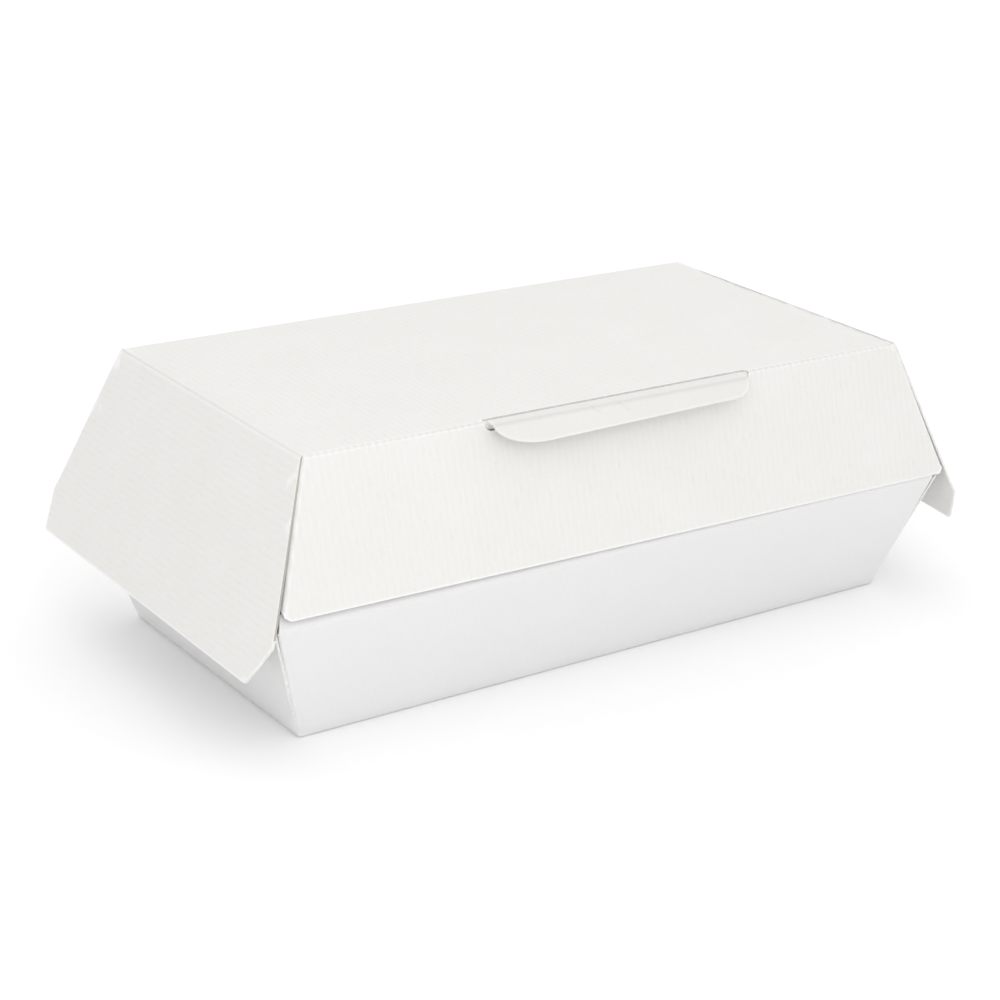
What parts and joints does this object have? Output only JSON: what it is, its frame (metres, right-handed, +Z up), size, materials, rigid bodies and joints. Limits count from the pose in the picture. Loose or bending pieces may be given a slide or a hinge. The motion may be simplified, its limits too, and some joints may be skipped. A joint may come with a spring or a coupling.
{
  "type": "takeaway box",
  "caption": "Clamshell takeaway box folded from fine-flute white card, hinged lid locked by a tongue through a slot",
  "frame": {"origin": "middle of the foot panel's underside, on the table", "axes": "X along the long side, front with the lock at -Y, hinge at +Y, Z up"},
  "size_m": [0.266, 0.1592, 0.0894],
  "materials": {
    "white_card": "matte white uncoated liner over fine flutes"
  },
  "bodies": {
    "tray": {"base": "white_card", "lock_tongue": "white_card"},
    "cover": {"lid": "white_card"}
  },
  "joints": [
    {"name": "lid_hinge", "type": "hinge", "parent": "tray", "child": "cover", "pos_m": [0, 0.072, 0.041], "axis": [-1, 0, 0], "range_deg": [0, 155], "deforming": ["lock_tongue"]}
  ]
}
